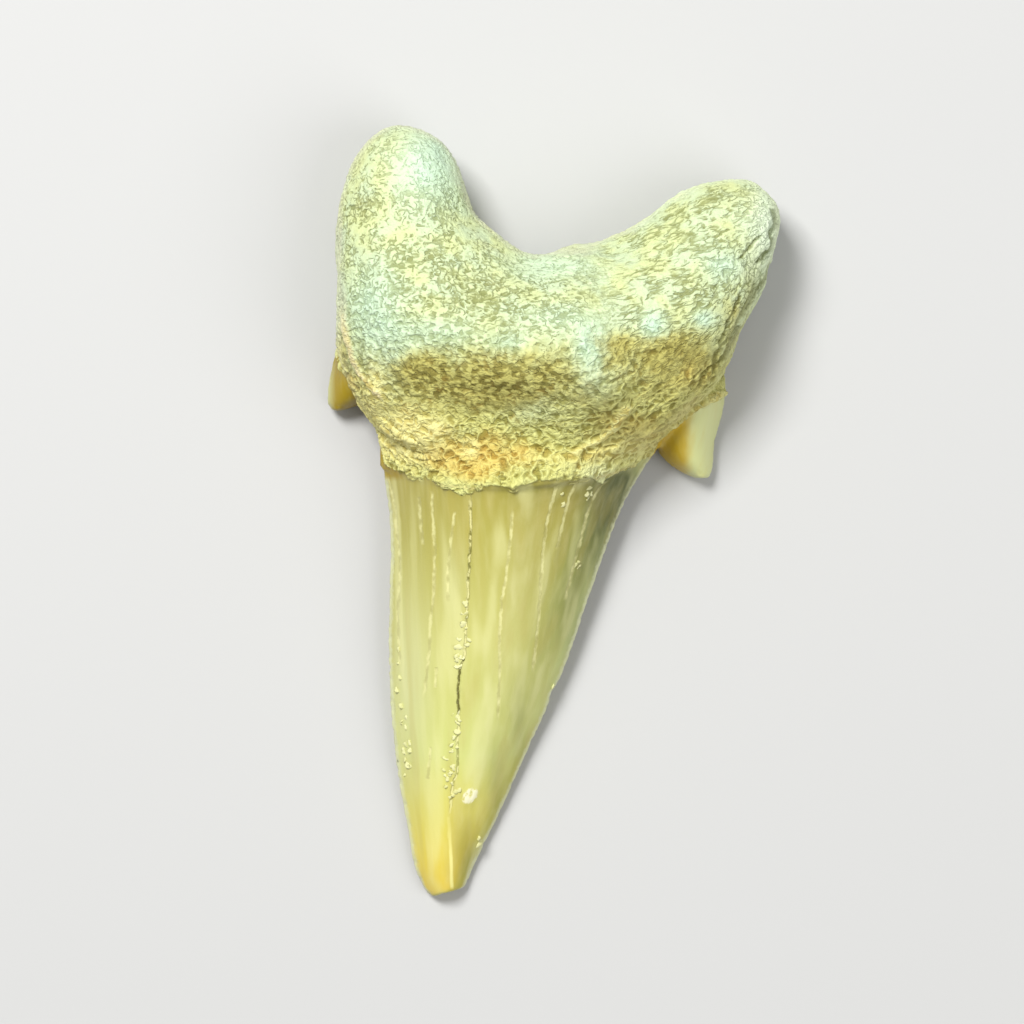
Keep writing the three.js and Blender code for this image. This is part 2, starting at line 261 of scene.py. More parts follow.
fossil = add_object("fossil_tooth", welded_copy("tooth"))
wrap = fossil.modifiers.new("fine_skin", "REMESH")
wrap.mode, wrap.voxel_size, wrap.use_smooth_shade = "VOXEL", SKIN_STEP, True
fossil.data = finished_mesh(fossil)
fossil_x, fossil_y, fossil_z = places_of(fossil.data).T
_, towards_root, upward = normals_of(fossil.data).T
on_top = ramp(upward, *LINGUAL_SLOPE)
fossil_z += stain_strength(fossil_x, fossil_y, CRUST_FILL) * ramp(upward, 0, 0.2)
fossil.data.vertices.foreach_set("co", np.column_stack((fossil_x, fossil_y, fossil_z)).ravel())
on_labial = border_distance(fossil_x, fossil_y, LABIAL_BORDER)
enamel = on_labial + on_top * (border_distance(fossil_x, fossil_y, LINGUAL_BORDER) - on_labial)
cusplet_top = np.where(fossil_x < 0, *CUSPLET_TOPS)
enamel = np.where(fossil_y > CUSPLET_START, np.minimum(enamel, cusplet_top - fossil_z), enamel)
on_blade = (fossil_x > BLADE_LEFT) & (fossil_x < BLADE_RIGHT) & (fossil_y < BLADE_TOP)
from_left, from_right = blade_sides(fossil_x, fossil_y, on_blade)
store(fossil.data, "enamel", enamel)
store(fossil.data, "lingual", ramp(upward, 0.1, 0.45))
store(fossil.data, "steep", ramp(-towards_root, 0.15, 0.6) * on_top)
# Steep outer sides of the top, where a pale rim is painted on as highlight
store(fossil.data, "rim", on_top * (1 - ramp(upward, 0.12, 0.5)))
store(fossil.data, "from_left", from_left)
store(fossil.data, "from_right", from_right)
store(fossil.data, "thickness", thickness_at(fossil_x, fossil_y, fossil_z))
for name, patches in (
    ("cream", CREAM_PATCHES), ("even", EVEN_GROUND), ("worn", WORN_PATCHES), ("olive", OLIVE_STAINS_AND_SHADE),
    ("ochre", OCHRE_STAINS), ("orange", ORANGE_STAINS), ("pale", PALE_PATCHES),
):
    store(fossil.data, name, stain_strength(fossil_x, fossil_y, patches))

# The tooth's relief. Weathered dentine is a crust of short curled ridges and pits, finer on the lobes and
# coarse on the band over the crown; enamel is smooth, split lengthwise by the cracks of its burial.
# Paths of cracks, seams and grooves are (y, x) from the root down, some of them with a half width.
MAIN_CRACK = [
    (1.2, -5.14), (-1.1, -5.11), (-4.1, -5.26), (-8.1, -5.45), (-9.0, -5.54), (-9.8, -5.83), (-11.1, -5.92),
    (-13.2, -5.89), (-14.8, -5.98), (-15.6, -5.95), (-16.8, -6.2), (-17.9, -6.36), (-19.2, -6.47),
]
FINE_CRACKS = [
    [(0.2, -2.51), (-1.9, -2.7), (-4.1, -2.95), (-5.0, -3.14), (-7.7, -3.33), (-10.1, -3.34),
     (-13.1, -3.51)],
    [(2.0, 0.24), (0.6, -0.16), (-1.0, -0.51), (-2.9, -0.73), (-6.0, -0.89), (-8.8, -1.17),
     (-10.1, -1.36)],
    [(2.0, 1.49), (1.0, 0.94), (-0.3, 0.61), (-1.4, 0.36), (-2.3, 0.17)],
    [(2.1, 3.42), (1.2, 2.61), (0.2, 2.14), (-1.3, 1.76), (-2.5, 1.42), (-4.6, 0.9), (-5.5, 0.67)],
    [(1.5, -7.54), (-1.1, -7.39), (-2.8, -7.33), (-6.7, -7.58), (-8.8, -7.72), (-11.6, -8.08)],
    [(1.0, -8.33), (-0.6, -8.21), (-2.0, -8.08)],
    [(0.1, -6.08), (-1.9, -6.34), (-3.2, -6.48), (-5.6, -6.53)],
    [(3.5, -10.65), (2.0, -10.22), (0.5, -9.89), (-1.1, -9.74), (-3.5, -9.55), (-6.2, -9.68),
     (-9.8, -9.48)],
    [(-9.6, -7.26), (-10.9, -7.34)],
    [(-14.6, -7.63), (-16.7, -7.83)],
]
# A pale line down to the tip, painted as the highlight along a small step in the enamel
TIP_HIGHLIGHT_LINE = [([(-18.9, -6.55), (-21.2, -6.43), (-23.7, -6.37)], 0.15)]
CRUST_SEAMS = [
    ([(12.4, -13.1), (11, -12.85), (9.8, -12.4), (8.8, -11.95), (7.9, -11.25), (7.0, -10.4)], 0.27),
    ([(7.7, 10.8), (7.2, 9.9), (6.7, 9.2), (6.05, 8.2), (5.3, 7.1)], 0.65),
    ([(6.6, 4.6), (5.6, 3.9), (4.9, 3.3), (4.3, 2.3), (3.4, 0.9)], 0.5),
]
ROOT_GROOVES = [
    ([(17.1, 12.8), (16.5, 12.2), (15.6, 11.5)], 0.22),
    ([(18.9, 13.65), (17.8, 13.8), (17.2, 13.45), (16.7, 13.6), (15.95, 13.1), (15.3, 12.6)], 0.3),
    ([(15.6, 13.6), (14.7, 13.25), (13.7, 12.6), (12.4, 11.75)], 0.25),
    ([(13.2, 12.1), (12.2, 11.55), (11.2, 11.15), (10.1, 10.7)], 0.16),
    ([(13.4, 11.6), (12.4, 11.05), (11.4, 10.6), (10.2, 10.1)], 0.13),
    ([(11.6, 11.5), (9.6, 10.5), (8.8, 9.5), (7.6, 8.9)], 0.22),
    ([(14.2, 12.6), (12.9, 11.9), (12.0, 11.6)], 0.2),
    ([(10.9, 11.0), (9.7, 10.0), (8.5, 9.9)], 0.2),
]
CRACK_HALF_WIDTH = 0.11
NEAR_A_CRACK = 0.24
CRACK_SWAY, SEAM_SWAY, GROOVE_SWAY, TIP_LINE_SWAY = 0.22, 0.5, 0.4, 0.05
SEAM_HEIGHT, GROOVE_DEPTH = 0.22, 0.1
RING_SCAR = (-5.2, -17.65)  # its middle, as (x, y)
RING_RADII = (0.3, 0.44)
LOBE_FLAKE = (14.1, 17.2, 3.7)  # the middle of a chip out of the right lobe's end
FLAKE_DEPTH = 0.25
EDGE_NICK = (-0.05, -11.45, 1.2)  # the middle of a nick in the crown's right edge
NICK_DEPTH = 0.3
LOBE_TURN = -0.35
ROUNDING, LIGHT_ROUNDING, LEVELLING = 24, 4, 420  # rounds of blur
SKIN_FACES = 178000  # triangles left in the skin, before its crumbs


class Wire:
    """A value that flows through a node tree. Arithmetic on it adds Math nodes."""

    def __init__(self, graph, socket):
        self.graph, self.socket = graph, socket

    def math(self, operation, *values):
        return self.graph.node("ShaderNodeMath", {"operation": operation}, dict(enumerate(values)))

    def __add__(self, other):
        return self.math("ADD", self, other)

    def __sub__(self, other):
        return self.math("SUBTRACT", self, other)

    def __rsub__(self, other):
        return self.math("SUBTRACT", other, self)

    def __mul__(self, other):
        return self.math("MULTIPLY", self, other)

    def __truediv__(self, other):
        return self.math("DIVIDE", self, other)

    def __abs__(self):
        return self.math("ABSOLUTE", self)

    def at_most(self, other):
        return self.math("MINIMUM", self, other)

    def at_least(self, other):
        return self.math("MAXIMUM", self, other)

    __radd__, __rmul__ = __add__, __mul__


class Graph:
    """A node tree of either kind that is filled one node at a time."""

    def __init__(self, tree):
        self.tree = tree

    def node(self, kind, settings=None, sockets=None, output=0):
        """Adds a node, sets it, fills or links its sockets, and gives one of its outputs."""
        made = self.tree.nodes.new(kind)
        for name, value in (settings or {}).items():
            if name == "curve":
                bend = made.mapping.curves[0]
                for _ in value[2:]:
                    bend.points.new(0.5, 0.5)
                for point, place in zip(bend.points, value):
                    point.location = place
                made.mapping.update()
            elif name == "stops":
                for _ in value[2:]:
                    made.color_ramp.elements.new(0.5)
                for stop, (place, colour) in zip(made.color_ramp.elements, value):
                    stop.position, stop.color = place, colour
            else:
                setattr(made, name, value)
        for key, value in (sockets or {}).items():
            if isinstance(value, Wire):
                self.tree.links.new(value.socket, made.inputs[key])
            else:
                made.inputs[key].default_value = value
        return Wire(self, made.outputs[output])

    def step(self, value, low, high):
        """0 below low, 1 above high, and a smooth rise between them."""
        smooth = {"interpolation_type": "SMOOTHSTEP"}
        return self.node("ShaderNodeMapRange", smooth, {0: value, 1: low, 2: high})

    def noise(self, place, spacing, seed, detail=2.0, distortion=0.0, stretch=(1, 1, 1)):
        """Cloudy noise round 0.5, its lumps about a spacing across and longer where stretched."""
        scale = tuple(1 / (spacing * s) for s in stretch)
        shift = (11.3 * seed, -7.9 * seed, 5.1 * seed)
        scaled = {"operation": "MULTIPLY_ADD"}
        moved = self.node("ShaderNodeVectorMath", scaled, {0: place, 1: scale, 2: shift})
        sockets = {"Vector": moved, "Scale": 1.0, "Detail": detail, "Distortion": distortion}
        return self.node("ShaderNodeTexNoise", {}, sockets)

    def curls(self, place, spacing, seed, half_width, stretch=(1, 1, 1)):
        """Short curled lines: 1 along their middles and 0 away from them."""
        cloud = self.noise(place, spacing, seed, detail=0.4, distortion=0.6, stretch=stretch)
        return self.step(1 - abs(cloud - 0.5) / half_width, 0, 1)

    def islands(self, place, spacing, seed, share, stretch=(1, 1, 1)):
        """Small scattered patches, 1 inside and 0 between, and more of them as the share rises."""
        cloud = self.noise(place, spacing, seed, detail=1.0, distortion=0.7, stretch=stretch)
        return 1 - self.step(cloud, share - 0.12, share + 0.09)

    def axes(self, place):
        return [self.node("ShaderNodeSeparateXYZ", {}, {0: place}, output) for output in (0, 1, 2)]


def crack_line(graph, x, y, path, half_width):
    """1 along the middle of a crack and 0 beside it; its path is (y, x) from the root down."""
    top, bottom = path[0][0], path[-1][0]
    left, right = min(px for _, px in path) - 0.1, max(px for _, px in path) + 0.1
    places = [((top - py) / (top - bottom), (px - left) / (right - left)) for py, px in path]
    along = (top - y) / (top - bottom)
    bend = graph.node("ShaderNodeFloatCurve", {"curve": places}, {"Value": along})
    middle = left + (right - left) * bend
    ends = graph.step(along, 0, 0.04) * (1 - graph.step(along, 0.94, 1))
    return (1 - graph.step(abs(x - middle), half_width * 0.25, half_width)) * ends


def crack_lines(graph, place, lingual):
    """The main crack and the fine ones, each a little wavy, on the lingual side alone."""
    x, y, _ = graph.axes(place)
    wavy = x + CRACK_SWAY * (graph.noise(place, 0.5, 3, detail=3) - 0.5)
    main = crack_line(graph, wavy, y, MAIN_CRACK, CRACK_HALF_WIDTH) * lingual
    fine = None
    for path in FINE_CRACKS:
        line = crack_line(graph, wavy, y, path, 1.25 * CRACK_HALF_WIDTH)
        fine = line if fine is None else fine.at_least(line)
    return main, fine * lingual


def crack_opening(graph, y):
    """How far the main crack gapes along its length, 1 where it is widest."""
    widest = graph.step(y, -13.2, -12.4) * (1 - graph.step(y, -9.6, -8.6))
    return 0.25 + 0.75 * widest + 0.4 * graph.step(y, -5.4, -4.8) * (1 - graph.step(y, -1.4, -0.4))


def enamel_edge(graph, place, enamel):
    """The distance to the border of the enamel, made ragged by crumbs of root."""
    return enamel + 0.5 * (graph.noise(place, 0.9, 5) - 0.5) + 0.3 * (graph.noise(place, 0.3, 6) - 0.5)


def crust_share(graph, place):
    """1 where the root's crust is coarse, over the crown and under the boss, and 0 on its lobes."""
    y = graph.axes(place)[1]
    return 1 - graph.step(y + 3.0 * (graph.noise(place, 2.5, 7) - 0.5), 7.0, 12.5)


def lobe_grain(graph, place):
    """The place turned with the right lobe, so that grain runs out along it."""
    turned = {"Vector": place, "Angle": LOBE_TURN}
    return graph.node("ShaderNodeVectorRotate", {"rotation_type": "Z_AXIS"}, turned)


def root_marks(graph, place):
    """The root's pits and ridges, each from 0 to 1. Ridges curl next to the crown and clot further up."""
    x, y, _ = graph.axes(place)
    rightward = graph.step(x, 0.5, 5.0)
    crowded = graph.noise(place, 1.8, 8) - 0.5
    boss = (1 - graph.step(abs(y - 11.8), 1.2, 2.4)) * (1 - graph.step(x, -2.0, 1.0))
    share = 0.42 + 0.3 * crowded + 0.06 * boss
    round_pits = graph.islands(place, 0.3, 9, share, (1.3, 0.9, 1))
    long_pits = graph.islands(lobe_grain(graph, place), 0.28, 10, share, (2.4, 0.95, 1))
    pits = round_pits + rightward * (long_pits - round_pits)
    round_threads = graph.curls(place, 0.5, 31, 0.085)
    long_threads = graph.curls(lobe_grain(graph, place), 0.42, 31, 0.085, stretch=(2.4, 0.95, 1))
    threads = round_threads + rightward * (long_threads - round_threads)
    threads = threads * graph.step(graph.noise(place, 0.5, 32) + crowded, 0.42, 0.52)
    small = graph.curls(place, 0.55, 11, 0.18)
    large = graph.curls(place, 0.8, 17, 0.145)
    wide = graph.step(graph.noise(place, 2.0, 18), 0.4, 0.6)
    worms = small.at_least(wide * large)
    clots = graph.step(graph.noise(place, 0.4, 34, detail=1), 0.4, 0.6)
    above = graph.step(y - 0.35 * x.at_least(0) + 2.5 * (graph.noise(place, 1.6, 35) - 0.5), 5.6, 7.6)
    return pits.at_least(0.85 * threads), worms + above * (clots - worms)


def wavy_lines(graph, place, lines, sway, seed):
    """1 along the middles of some lines, each a path and its half width, and 0 away from them."""
    x, y, _ = graph.axes(place)
    wavy = x + sway * (graph.noise(place, 0.8, seed) - 0.5)
    whole = None
    for path, half_width in lines:
        line = crack_line(graph, wavy, y, path, half_width)
        whole = line if whole is None else whole.at_least(line)
    return whole


def crust_seams(graph, place, lingual):
    """The raised cords where the crust folds over itself."""
    return wavy_lines(graph, place, CRUST_SEAMS, SEAM_SWAY, 16) * lingual


def root_grooves(graph, place):
    """The long splits in the right lobe and its flank."""
    return wavy_lines(graph, place, ROOT_GROOVES, GROOVE_SWAY, 30)


def ring_scar(graph, place):
    """A pale oval scar on the enamel near the tip, hollow in its middle."""
    x, y, _ = graph.axes(place)
    across, along = x - RING_SCAR[0], y - RING_SCAR[1]
    short = (0.8 * across - 0.6 * along) / RING_RADII[0]
    long = (0.6 * across + 0.8 * along) / RING_RADII[1]
    squared = short * short + long * long
    reach = squared.math("SQRT", squared) + 0.7 * (graph.noise(place, 0.25, 4) - 0.5)
    broken = graph.step(graph.noise(place, 0.35, 2), 0.3, 0.46)
    return (1 - graph.step(abs(reach - 0.75), 0.25, 0.7)) * broken


def relief_tree():
    """Smooths the skin, keeps each point's place as `bare`, and raises the relief along the normals."""
    tree = bpy.data.node_groups.new("tooth_relief", "GeometryNodeTree")
    face = tree.interface
    face.new_socket("Geometry", in_out="INPUT", socket_type="NodeSocketGeometry")
    sizes = {"Lumps": 0.3, "Ridges": 0.13, "Pits": 0.07, "Cracks": 0.1, "Border": 0.14}
    for name, size in sizes.items():
        face.new_socket(name, in_out="INPUT", socket_type="NodeSocketFloat").default_value = size
    face.new_socket("Geometry", in_out="OUTPUT", socket_type="NodeSocketGeometry")
    graph = Graph(tree)
    entry = tree.nodes.new("NodeGroupInput")
    skin = Wire(graph, entry.outputs["Geometry"])
    lumps, ridge_height, pit_depth, crack_depth, border_step = (Wire(graph, entry.outputs[n]) for n in sizes)

    def measure(name, kind="FLOAT"):
        return graph.node("GeometryNodeInputNamedAttribute", {"data_type": kind}, {"Name": name})

    place = graph.node("GeometryNodeInputPosition")
    enamel = measure("enamel")
    vector = {"data_type": "FLOAT_VECTOR"}
    smooth = graph.node("GeometryNodeBlurAttribute", vector, {0: place, "Iterations": ROUNDING})
    lightly = graph.node("GeometryNodeBlurAttribute", vector, {0: place, "Iterations": LIGHT_ROUNDING})
    y = graph.axes(place)[1]
    thin = (1 - graph.step(measure("thickness"), 0.9, 1.6)).at_least(1 - graph.step(y, -22.5, -20.5))
    sharp = graph.step(enamel, -0.1, 0.3) * thin
    mixed = graph.node("ShaderNodeMix", {"data_type": "VECTOR"}, {0: sharp, 4: smooth, 5: lightly}, 1)
    levelled = graph.node("GeometryNodeBlurAttribute", vector, {0: place, "Iterations": LEVELLING})
    upper = measure("even") * measure("lingual")
    mixed = graph.node("ShaderNodeMix", {"data_type": "VECTOR"}, {0: upper, 4: mixed, 5: levelled}, 1)
    rounded = graph.node("GeometryNodeSetPosition", {}, {"Geometry": skin, "Position": mixed})
    store_bare = {"data_type": "FLOAT_VECTOR", "domain": "POINT"}
    sockets = {"Geometry": rounded, "Name": "bare", 3: place}
    kept = graph.node("GeometryNodeStoreNamedAttribute", store_bare, sockets)

    bare = measure("bare", "FLOAT_VECTOR")
    y = graph.axes(bare)[1]
    edge = enamel_edge(graph, bare, enamel)
    on_root = 1 - graph.step(edge, -0.12, 0.1)
    coarse = crust_share(graph, bare)
    pits, ridges = root_marks(graph, bare)
    root = lumps * (graph.noise(bare, 1.5, 12) - 0.5) * (0.5 + coarse)
    band = 1 - graph.step(abs(edge + 1.6), 1.0, 2.2)
    kept_share = (1 - 0.55 * measure("worn")) * (1 - 0.6 * measure("steep"))
    crust = ridge_height * (ridges * (0.35 + 0.65 * coarse + 0.5 * band) - 0.4) - pit_depth * pits
    root = root + kept_share * crust
    root = root + 0.05 * (graph.noise(bare, 0.5, 13, detail=0) - 0.5) + 0.2 * measure("cream") * coarse
    root = root + crust_seams(graph, bare, measure("lingual")) * (SEAM_HEIGHT - 0.5 * ridge_height * ridges)
    root = root - GROOVE_DEPTH * root_grooves(graph, bare)
    root = root + border_step * graph.step(edge, -0.7, -0.1)
    main, fine = crack_lines(graph, bare, measure("lingual"))
    opened = crack_opening(graph, y)
    crown = 0.07 * (graph.noise(bare, 1.1, 14, stretch=(1, 9, 1)) - 0.5) - crack_depth * main * opened
    crown = crown + 0.015 * fine + 0.04 * ring_scar(graph, bare)
    thin_edge = 1 - graph.step(measure("thickness"), 0.5, 1.1)
    chipped = graph.step(graph.noise(bare, 0.5, 15), 0.5, 0.62) * thin_edge
    crown = crown + 0.05 - 0.05 * chipped
    flake = graph.node("ShaderNodeVectorMath", {"operation": "DISTANCE"}, {0: bare, 1: LOBE_FLAKE}, 1)
    nick = graph.node("ShaderNodeVectorMath", {"operation": "DISTANCE"}, {0: bare, 1: EDGE_NICK}, 1)
    height = crown + on_root * (root - crown) - FLAKE_DEPTH * (1 - graph.step(flake, 0.3, 0.9))
    height = height - NICK_DEPTH * (1 - graph.step(nick, 0.15, 0.4))
    normal = graph.node("GeometryNodeInputNormal")
    raised = graph.node("ShaderNodeVectorMath", {"operation": "SCALE"}, {0: normal, "Scale": height})
    moved = graph.node("GeometryNodeSetPosition", {}, {"Geometry": kept, "Offset": raised})
    now_x, now_y, now_z = graph.axes(graph.node("GeometryNodeInputPosition"))
    seated = graph.node("ShaderNodeCombineXYZ", {}, {0: now_x, 1: now_y, 2: now_z.at_least(0)})
    resting = graph.node("GeometryNodeSetPosition", {}, {"Geometry": moved, "Position": seated})
    leaving = tree.nodes.new("NodeGroupOutput")
    tree.links.new(resting.socket, leaving.inputs["Geometry"])
    return tree


def refine_cracks(mesh):
    """Halves the faces along the cracks, which are narrower than the skin's own step."""
    skin = bmesh.new()
    skin.from_mesh(mesh)
    x, y, _ = places_of(mesh).T
    upward = normals_of(mesh)[:, 2]
    near = np.zeros(len(x), bool)
    for path in [MAIN_CRACK, *FINE_CRACKS]:
        heights = np.array([p[0] for p in path[::-1]])
        middle = np.interp(y, heights, [p[1] for p in path[::-1]])
        near |= (abs(x - middle) < NEAR_A_CRACK) & (y > heights[0]) & (y < heights[-1]) & (upward > 0)
    skin.verts.ensure_lookup_table()
    edges = [e for e in skin.edges if near[e.verts[0].index] and near[e.verts[1].index]]
    bmesh.ops.subdivide_edges(skin, edges=edges, cuts=1, use_grid_fill=True)
    bmesh.ops.triangulate(skin, faces=[f for f in skin.faces if len(f.verts) > 4])
    skin.to_mesh(mesh)
    skin.free()


refine_cracks(fossil.data)
relief = fossil.modifiers.new("relief", "NODES")
relief.node_group = relief_tree()
fossil.data = finished_mesh(fossil)
thinned = fossil.modifiers.new("thinned", "DECIMATE")
full_count = sum(len(p.vertices) - 2 for p in fossil.data.polygons)
thinned.ratio = min(1, SKIN_FACES / full_count)
fossil.data = finished_mesh(fossil)

# Crumbs of the rock that the tooth was dug from. They cling along its cracks and its left edge, and here
# and there on the enamel, in beds that are listed; each crumb's own place and shape are random.
CRUMB_SPECKS = [
    (1.46, -3.4), (0.75, -5.2), (1.51, -5.3), (0.9, -6.2), (0.0, -10.7), (-1.9, -11.7), (-1.0, -13.2),
    (-4.8, -19.4), (-4.4, -20.3), (-4.9, -20.8), (-3.8, -17.1), (-4.6, -18.3), (-7.5, -11.5), (-5.7, -18.6),
    (2.3, 1.3), (0.4, 0.9),
]
CRUMB_BEDS = [  # as (x, y, reach in x, reach in y, strength)
    (-5.74, -9.1, 0.12, 0.5, 1.2), (-5.98, -12.6, 0.14, 0.35, 1.2), (-6.2, -14.0, 0.25, 0.5, 1.0),
    (-6.35, -16.4, 0.28, 1.1, 1.0), (-5.4, -6.8, 0.09, 1.4, 1.0), (-9.35, -13.4, 0.28, 1.1, 0.3),
    (-9.2, -15.9, 0.25, 1.4, 0.25), (-9.7, -9.5, 0.2, 2.6, 0.25), (-8.6, -10.9, 0.3, 0.6, 0.2),
]
SPECK_REACH, SPECK_STRENGTH = 0.13, 0.9
LEAST_STRENGTH = 0.12  # where a bed is weaker than this it holds no crumbs
CRUMBS_PER_MM2 = 18.0
CRUMB_SIZE = 0.15
CRUMB_TURNS = ((-0.3, -0.3, 0), (0.3, 0.3, 6.28))  # least and most
CRUMB_GIRTHS = ((0.5, 0.5, 0.25), (1.5, 2.0, 0.45))
CRUMB_SINK = 0.02
CRUMB_SEED = 7


def crumb_tree():
    """Scatters lumpy crumbs of the old matrix over the skin, where `crumb_bed` says so."""
    tree = bpy.data.node_groups.new("matrix_crumbs", "GeometryNodeTree")
    face = tree.interface
    face.new_socket("Geometry", in_out="INPUT", socket_type="NodeSocketGeometry")
    for name, size in (("Crumbs per mm2", CRUMBS_PER_MM2), ("Crumb radius", CRUMB_SIZE)):
        face.new_socket(name, in_out="INPUT", socket_type="NodeSocketFloat").default_value = size
    face.new_socket("Seed", in_out="INPUT", socket_type="NodeSocketInt").default_value = CRUMB_SEED
    face.new_socket("Stone", in_out="INPUT", socket_type="NodeSocketMaterial")
    face.new_socket("Geometry", in_out="OUTPUT", socket_type="NodeSocketGeometry")
    graph = Graph(tree)
    entry = tree.nodes.new("NodeGroupInput")
    skin, density, radius, seed, stone = (Wire(graph, s) for s in entry.outputs[:5])
    bed = graph.node("GeometryNodeInputNamedAttribute", {"data_type": "FLOAT"}, {"Name": "crumb_bed"})
    sockets = {"Mesh": skin, "Density": density * bed, "Seed": seed}
    spots = graph.node("GeometryNodeDistributePointsOnFaces", {"distribute_method": "RANDOM"}, sockets)
    ball = graph.node("GeometryNodeMeshIcoSphere", {}, {"Radius": 1.0, "Subdivisions": 2})
    vector = {"data_type": "FLOAT_VECTOR"}
    turn, girth = (
        graph.node("FunctionNodeRandomValue", vector, {0: least, 1: most, "Seed": seed})
        for least, most in (CRUMB_TURNS, CRUMB_GIRTHS)
    )
    size = graph.node("ShaderNodeVectorMath", {"operation": "SCALE"}, {0: girth, "Scale": radius})
    sunk = graph.node("GeometryNodeSetPosition", {}, {"Geometry": spots, "Offset": (0, 0, -CRUMB_SINK)})
    sockets = {"Points": sunk, "Instance": ball, "Rotation": turn, "Scale": size}
    loose = graph.node("GeometryNodeInstanceOnPoints", {}, sockets)
    solid = graph.node("GeometryNodeRealizeInstances", {}, {"Geometry": loose})
    place = graph.node("GeometryNodeInputPosition")
    lump = 2.4 * radius * (graph.noise(place, 0.16, 19, detail=1) - 0.5)
    normal = graph.node("GeometryNodeInputNormal")
    offset = graph.node("ShaderNodeVectorMath", {"operation": "SCALE"}, {0: normal, "Scale": lump})
    lumpy = graph.node("GeometryNodeSetPosition", {}, {"Geometry": solid, "Offset": offset})
    point = {"data_type": "FLOAT", "domain": "POINT"}
    sockets = {"Geometry": lumpy, "Name": "crumb", "Value": 1.0}
    marked = graph.node("GeometryNodeStoreNamedAttribute", point, sockets)
    both = tree.nodes.new("GeometryNodeJoinGeometry")
    tree.links.new(marked.socket, both.inputs[0])
    tree.links.new(skin.socket, both.inputs[0])
    whole = graph.node("GeometryNodeRealizeInstances", {}, {"Geometry": Wire(graph, both.outputs[0])})
    dressed = graph.node("GeometryNodeSetMaterial", {}, {"Geometry": whole, "Material": stone})
    leaving = tree.nodes.new("NodeGroupOutput")
    tree.links.new(dressed.socket, leaving.inputs["Geometry"])
    return tree


skin_x, skin_y, _ = places_of(fossil.data).T
specks = [(x, y, SPECK_REACH, SPECK_REACH, SPECK_STRENGTH) for x, y in CRUMB_SPECKS]
bed = stain_strength(skin_x, skin_y, CRUMB_BEDS + specks) * (normals_of(fossil.data)[:, 2] > 0.1)
store(fossil.data, "crumb_bed", np.where(bed > LEAST_STRENGTH, bed, 0))

# The tooth's finish. One stone, but two surfaces: dull cream dentine with ochre and orange stains, pale
# bluish where it is cleanest, and olive-yellow enamel with a soft gloss, orange at the broken tip.
# Some colours are painted light: shade in the crust's pits, under the band's overhang and in the open crack,
# and highlights along edges, on the tip's step and on the right lobe's end.
STUDIO_LEVEL = 1.12  # how bright the light leaves a white level surface, which the colours allow for
DULL, GLOSS = 0.80, 0.36  # roughness of dentine and crumbs, and of enamel


def paint(code):
    """A colour that shows as the given sRGB code under the studio light."""
    shown = [int(code[i : i + 2], 16) / 255 for i in (0, 2, 4)]
    linear = [((c + 0.055) / 1.055) ** 2.4 / STUDIO_LEVEL for c in shown]
    return (*linear, 1)


def mix(graph, share, first, second):
    """A colour between two, by a share from 0 to 1."""
    settings = {"data_type": "RGBA", "clamp_factor": True}
    return graph.node("ShaderNodeMix", settings, {0: share, 6: first, 7: second}, 2)


